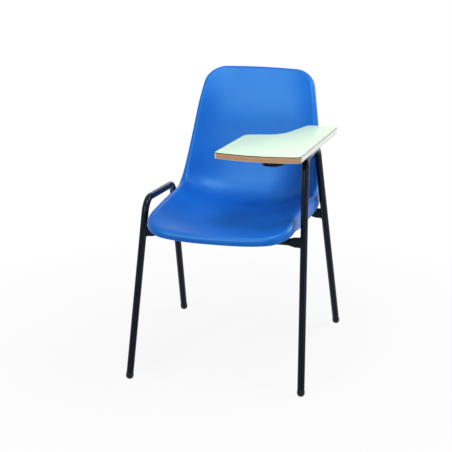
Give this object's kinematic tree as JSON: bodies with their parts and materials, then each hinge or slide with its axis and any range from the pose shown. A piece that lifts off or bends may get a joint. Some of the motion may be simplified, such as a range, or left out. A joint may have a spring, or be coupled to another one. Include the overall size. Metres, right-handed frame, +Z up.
{
  "type": "school chair with a writing tablet",
  "caption": "Moulded plastic shell seat on a bent steel tube frame, with a fixed laminated writing tablet carried by the taller side of the frame.",
  "frame": {"origin": "on the floor, at the middle of the whole chair's width and depth", "axes": "+Z up, +Y towards the chair's back so that it faces -Y, +X towards the tablet, which is the sitter's left"},
  "size_m": [0.5358, 0.627, 0.8262],
  "materials": {
    "black_paint": "satin black powder coat on steel",
    "glide_plastic": "black plastic, slightly scuffed",
    "blue_plastic": "bright blue moulded plastic, fine satin grain",
    "zinc_steel": "zinc plated",
    "top_laminate": "pale mint white laminate, satin",
    "backing_laminate": "pale backing laminate",
    "core_board": "particle board",
    "pale_edge": "pale edge band",
    "brown_edge": "light brown edge band"
  },
  "bodies": {
    "root": {"left_side_frame": "black_paint", "right_side_frame": "black_paint", "front_cross_tube": "black_paint", "rear_cross_tube": "black_paint", "cross_tube_welds": "black_paint", "front_left_glide": "glide_plastic", "front_right_glide": "glide_plastic", "rear_left_glide": "glide_plastic", "rear_right_glide": "glide_plastic", "seat_shell": "blue_plastic", "shell_screws": "zinc_steel", "shell_washers": "zinc_steel", "tablet_bottom_laminate": "backing_laminate", "tablet_core": "core_board", "tablet_top_laminate": "top_laminate", "tablet_side_edge_band": "pale_edge", "tablet_front_edge_band": "brown_edge", "tablet_support_hoop": "black_paint", "hoop_welds": "black_paint", "front_rail_plate": "black_paint", "rear_rail_plate": "black_paint", "hoop_plate": "black_paint", "tablet_screws": "zinc_steel"}
  },
  "joints": []
}
